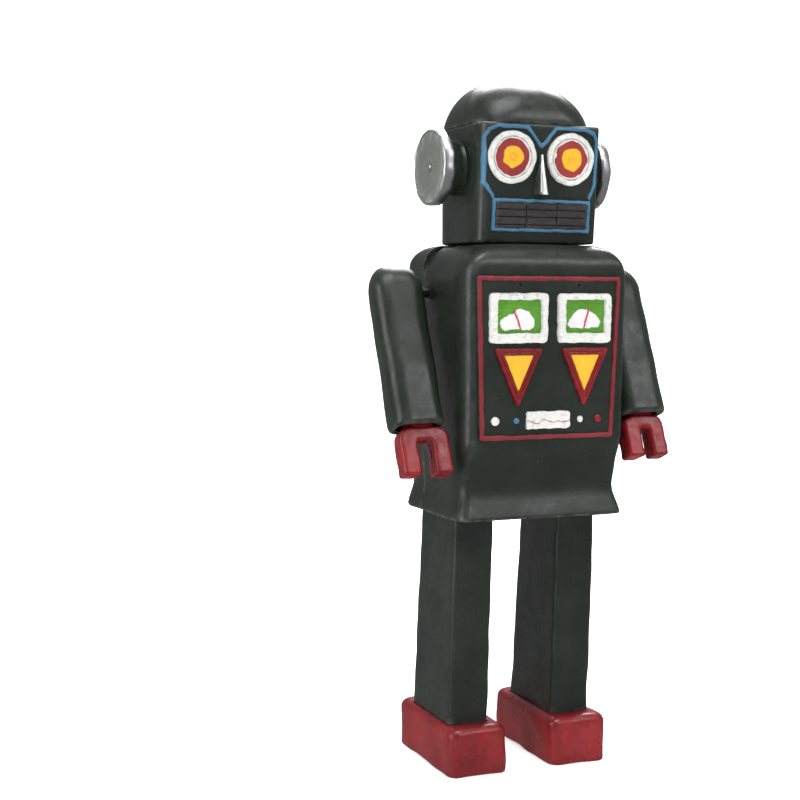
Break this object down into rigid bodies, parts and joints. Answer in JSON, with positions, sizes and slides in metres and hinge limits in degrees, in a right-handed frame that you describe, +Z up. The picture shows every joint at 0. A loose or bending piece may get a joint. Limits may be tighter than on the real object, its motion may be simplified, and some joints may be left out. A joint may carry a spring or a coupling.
{
  "type": "wind-up walking robot",
  "caption": "Boxy upright toy robot on two flat feet, domed head with disc ears, gauges and lamps on its chest, claw hands, key-wound walking clockwork inside.",
  "frame": {"origin": "on the floor, at the middle of the robot's bounding box, midway between the feet", "axes": "+Z up, +X towards the robot's own left, the robot faces -Y"},
  "size_m": [0.0956, 0.0554, 0.2194],
  "materials": {
    "green_tin": "dark green-black enamel on tinplate, satin",
    "red_enamel": "deep red enamel, satin gloss",
    "white_enamel": "white brushed enamel",
    "green_enamel": "leaf green enamel",
    "pink_enamel": "pink-red enamel line",
    "amber_enamel": "amber yellow enamel",
    "blue_enamel": "sky blue enamel line",
    "brown_enamel": "dark brown enamel",
    "bright_tin": "bright plated tin",
    "steel": "plain mill steel",
    "brass": "rolled brass",
    "black_plastic": "black roller plastic"
  },
  "bodies": {
    "torso": {"torso_front_shell": "green_tin", "torso_rear_shell": "green_tin", "base_plate": "steel", "chest_panel": "green_tin", "chest_trim": "red_enamel", "gauge_bezel_left": "white_enamel", "gauge_bezel_right": "white_enamel", "gauge_dial_left": "green_enamel", "gauge_dial_right": "green_enamel", "gauge_needles": "pink_enamel", "lamp_frame_left": "red_enamel", "lamp_frame_right": "red_enamel", "lamp_lens_left": "amber_enamel", "lamp_lens_right": "amber_enamel", "chart_window": "white_enamel", "chest_studs": "white_enamel", "neck_rivet": "brass", "shoulder_bushes": "green_tin", "motor_plate_left": "bright_tin", "motor_plate_right": "bright_tin", "motor_pillars": "brass", "hip_pins": "steel", "mainspring": "steel"},
    "head": {"head_case": "green_tin", "head_dome": "green_tin", "face_trim": "blue_enamel", "mouth_grille": "brown_enamel", "eye_ring_left": "white_enamel", "eye_ring_right": "white_enamel", "eye_lens_left": "red_enamel", "eye_lens_right": "red_enamel", "nose": "bright_tin", "ear_bosses": "green_tin", "ear_disc_left": "bright_tin", "ear_disc_right": "bright_tin"},
    "left_arm": {"arm_left": "green_tin", "hand_left": "red_enamel", "shoulder_pin_left": "steel"},
    "right_arm": {"arm_right": "green_tin", "hand_right": "red_enamel", "shoulder_pin_right": "steel"},
    "left_leg": {"leg_left": "green_tin", "leg_lever_left": "steel", "foot_left": "red_enamel", "sole_plate_left": "steel"},
    "right_leg": {"leg_right": "green_tin", "leg_lever_right": "steel", "foot_right": "red_enamel", "sole_plate_right": "steel"},
    "left_roller": {"foot_roller_left": "black_plastic"},
    "right_roller": {"foot_roller_right": "black_plastic"},
    "great_wheel_unit": {"great_wheel": "brass", "click_spring": "steel"},
    "key": {"winding_key": "bright_tin", "main_arbor": "steel"},
    "second_arbor": {"second_wheel": "brass"},
    "crank": {"crank_shaft": "brass"},
    "star_arbor": {"star_wheel": "brass"},
    "pallet_arbor": {"pallet": "steel"},
    "stop": {"stop_lever": "steel"}
  },
  "joints": [
    {"name": "head_turn", "type": "hinge", "parent": "torso", "child": "head", "pos_m": [0, 0, 0.1673], "axis": [0, 0, 1], "range_deg": [-60, 60]},
    {"name": "left_arm_swing", "type": "hinge", "parent": "torso", "child": "left_arm", "pos_m": [0.0395, 0.0034, 0.152], "axis": [-1, 0, 0], "range_deg": [-6, 100]},
    {"name": "right_arm_swing", "type": "hinge", "parent": "torso", "child": "right_arm", "pos_m": [-0.0395, 0.0034, 0.152], "axis": [-1, 0, 0], "range_deg": [-6, 100]},
    {"name": "left_leg_swing", "type": "hinge", "parent": "torso", "child": "left_leg", "pos_m": [0.0181, 0.0018, 0.091], "axis": [-1, 0, 0], "range_deg": [-8, 8]},
    {"name": "right_leg_swing", "type": "hinge", "parent": "torso", "child": "right_leg", "pos_m": [-0.0181, 0.0018, 0.091], "axis": [-1, 0, 0], "range_deg": [-8, 8]},
    {"name": "left_roller_spin", "type": "hinge", "parent": "left_leg", "child": "left_roller", "pos_m": [0.0186, 0.007, 0.00365], "axis": [1, 0, 0], "continuous": true},
    {"name": "right_roller_spin", "type": "hinge", "parent": "right_leg", "child": "right_roller", "pos_m": [-0.017, 0.007, 0.00365], "axis": [1, 0, 0], "continuous": true},
    {"name": "great_wheel_turn", "type": "hinge", "parent": "torso", "child": "great_wheel_unit", "pos_m": [0, 0.0096, 0.106], "axis": [1, 0, 0], "continuous": true},
    {"name": "key_wind", "type": "hinge", "parent": "great_wheel_unit", "child": "key", "pos_m": [0, 0.0096, 0.106], "axis": [1, 0, 0], "continuous": true},
    {"name": "second_arbor_turn", "type": "hinge", "parent": "torso", "child": "second_arbor", "pos_m": [0, -0.00036, 0.11801], "axis": [1, 0, 0], "continuous": true},
    {"name": "crank_turn", "type": "hinge", "parent": "torso", "child": "crank", "pos_m": [0, -0.0056, 0.1046], "axis": [1, 0, 0], "continuous": true},
    {"name": "star_turn", "type": "hinge", "parent": "torso", "child": "star_arbor", "pos_m": [0, -0.01486, 0.11563], "axis": [1, 0, 0], "continuous": true},
    {"name": "pallet_rock", "type": "hinge", "parent": "torso", "child": "pallet_arbor", "pos_m": [0, -0.01486, 0.12423], "axis": [1, 0, 0], "range_deg": [-2.5, 2.5]},
    {"name": "stop_lever_move", "type": "hinge", "parent": "torso", "child": "stop", "pos_m": [0, 0.008, 0.128], "axis": [1, 0, 0], "range_deg": [0, 4]}
  ],
  "couplings": [
    {"joint": "right_leg_swing", "follows": "left_leg_swing", "ratio": -1},
    {"joint": "second_arbor_turn", "follows": "great_wheel_turn", "ratio": -3.3333},
    {"joint": "crank_turn", "follows": "great_wheel_turn", "ratio": 10},
    {"joint": "star_turn", "follows": "great_wheel_turn", "ratio": -30}
  ]
}
